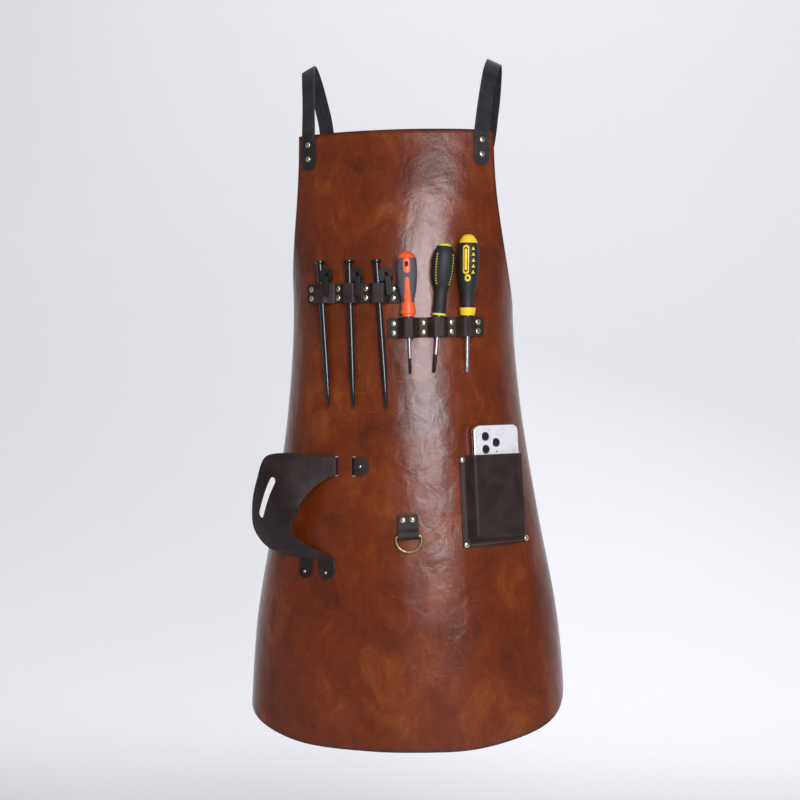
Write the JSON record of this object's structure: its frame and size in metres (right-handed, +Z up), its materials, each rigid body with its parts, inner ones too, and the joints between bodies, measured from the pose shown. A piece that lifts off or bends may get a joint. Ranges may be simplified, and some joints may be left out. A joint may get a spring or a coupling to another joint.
{
  "type": "work apron",
  "caption": "Leather work apron in its worn shape, with a riveted belt of tool loops, a tool sling, a D-ring, a phone pocket, crossed back straps, and the tools that it carries.",
  "frame": {"origin": "midway between the undersides of the two shoulder straps at their highest points, where the wearer's shoulders carry them", "axes": "+Z up, -Y to the front of the apron, +X to the right as seen from the front"},
  "size_m": [0.4614, 0.2804, 0.9902],
  "materials": {
    "panel_leather": "oiled cognac-brown leather, half gloss",
    "trim_leather": "dark brown leather, matt",
    "strap_leather": "blue-black leather, matt",
    "rivet_brass": "pale polished brass",
    "antique_brass": "antique brass",
    "black_iron": "black, gloss shank",
    "tool_steel": "bright steel with dark tip",
    "orange_handle": "orange and grey soft grip",
    "black_green_handle": "black with yellow-green trim",
    "black_yellow_handle": "black with yellow inlay",
    "phone_white": "white glass and silver edge"
  },
  "bodies": {
    "apron": {"apron_panel": "panel_leather", "back_keeper": "trim_leather", "buckle_frame_left": "antique_brass", "buckle_frame_right": "antique_brass", "driver_band": "trim_leather", "driver_band_rivet_1_lower": "rivet_brass", "driver_band_rivet_1_upper": "rivet_brass", "driver_band_rivet_2_lower": "rivet_brass", "driver_band_rivet_2_upper": "rivet_brass", "driver_band_rivet_3_lower": "rivet_brass", "driver_band_rivet_3_upper": "rivet_brass", "driver_band_rivet_4_lower": "rivet_brass", "driver_band_rivet_4_upper": "rivet_brass", "keeper_rivet": "rivet_brass", "peg_band": "trim_leather", "peg_band_rivet_1_lower": "rivet_brass", "peg_band_rivet_1_upper": "rivet_brass", "peg_band_rivet_2_lower": "rivet_brass", "peg_band_rivet_2_upper": "rivet_brass", "peg_band_rivet_3_lower": "rivet_brass", "peg_band_rivet_3_upper": "rivet_brass", "peg_band_rivet_4_lower": "rivet_brass", "peg_band_rivet_4_upper": "rivet_brass", "phone_pocket": "trim_leather", "pocket_rivet_lower_left": "rivet_brass", "pocket_rivet_lower_right": "rivet_brass", "pocket_rivet_upper_left": "rivet_brass", "pocket_rivet_upper_right": "rivet_brass", "ring_tab": "trim_leather", "ring_tab_rivet_left": "rivet_brass", "ring_tab_rivet_right": "rivet_brass", "shoulder_strap_left": "strap_leather", "shoulder_strap_right": "strap_leather", "side_tab_left": "strap_leather", "side_tab_right": "strap_leather", "side_tab_rivet_left": "rivet_brass", "side_tab_rivet_right": "rivet_brass", "sling_stud_leg_1": "rivet_brass", "sling_stud_leg_2": "rivet_brass", "sling_stud_upper": "rivet_brass", "strap_rivet_left_1": "rivet_brass", "strap_rivet_left_2": "rivet_brass", "strap_rivet_right_1": "rivet_brass", "strap_rivet_right_2": "rivet_brass", "tool_sling": "trim_leather"},
    "peg_1": {"peg_1": "black_iron"},
    "peg_2": {"peg_2": "black_iron"},
    "peg_3": {"peg_3": "black_iron"},
    "driver_1": {"driver_1_handle": "orange_handle", "driver_1_shaft": "tool_steel"},
    "driver_2": {"driver_2_handle": "black_green_handle", "driver_2_shaft": "tool_steel"},
    "driver_3": {"driver_3_handle": "black_yellow_handle", "driver_3_shaft": "tool_steel"},
    "phone": {"phone": "phone_white"},
    "d_ring": {"d_ring": "antique_brass"},
    "buckle_prong_left": {"buckle_prong_left": "antique_brass"},
    "buckle_prong_right": {"buckle_prong_right": "antique_brass"}
  },
  "joints": [
    {"name": "peg_1_slide", "type": "slide", "parent": "apron", "child": "peg_1", "axis": [-0.0643, 0.0522, 0.9966], "range_m": [0, 0.18]},
    {"name": "peg_2_slide", "type": "slide", "parent": "apron", "child": "peg_2", "axis": [-0.0277, 0.0294, 0.9992], "range_m": [0, 0.18]},
    {"name": "peg_3_slide", "type": "slide", "parent": "apron", "child": "peg_3", "axis": [-0.0643, 0.0264, 0.9976], "range_m": [0, 0.18]},
    {"name": "driver_1_slide", "type": "slide", "parent": "apron", "child": "driver_1", "axis": [-0.0185, -0.0586, 0.9981], "range_m": [0, 0.1]},
    {"name": "driver_2_slide", "type": "slide", "parent": "apron", "child": "driver_2", "axis": [0.0956, -0.0244, 0.9951], "range_m": [0, 0.06]},
    {"name": "driver_3_slide", "type": "slide", "parent": "apron", "child": "driver_3", "axis": [0.025, -0.055, 0.9982], "range_m": [0, 0.1]},
    {"name": "phone_slide", "type": "slide", "parent": "apron", "child": "phone", "axis": [-0.0422, 0.0346, 0.9985], "range_m": [0, 0.07]},
    {"name": "ring_swing", "type": "hinge", "parent": "apron", "child": "d_ring", "pos_m": [0.02378, -0.13754, -0.6838], "axis": [-0.9955, -0.0804, -0.0498], "range_deg": [-4, 110]},
    {"name": "prong_left_lift", "type": "hinge", "parent": "apron", "child": "buckle_prong_left", "pos_m": [-0.13163, 0.08038, -0.41758], "axis": [-0.2148, -0.4287, 0.8775], "range_deg": [0, 18]},
    {"name": "prong_right_lift", "type": "hinge", "parent": "apron", "child": "buckle_prong_right", "pos_m": [0.13163, 0.08038, -0.41758], "axis": [-0.2148, 0.4287, -0.8775], "range_deg": [0, 18]}
  ]
}
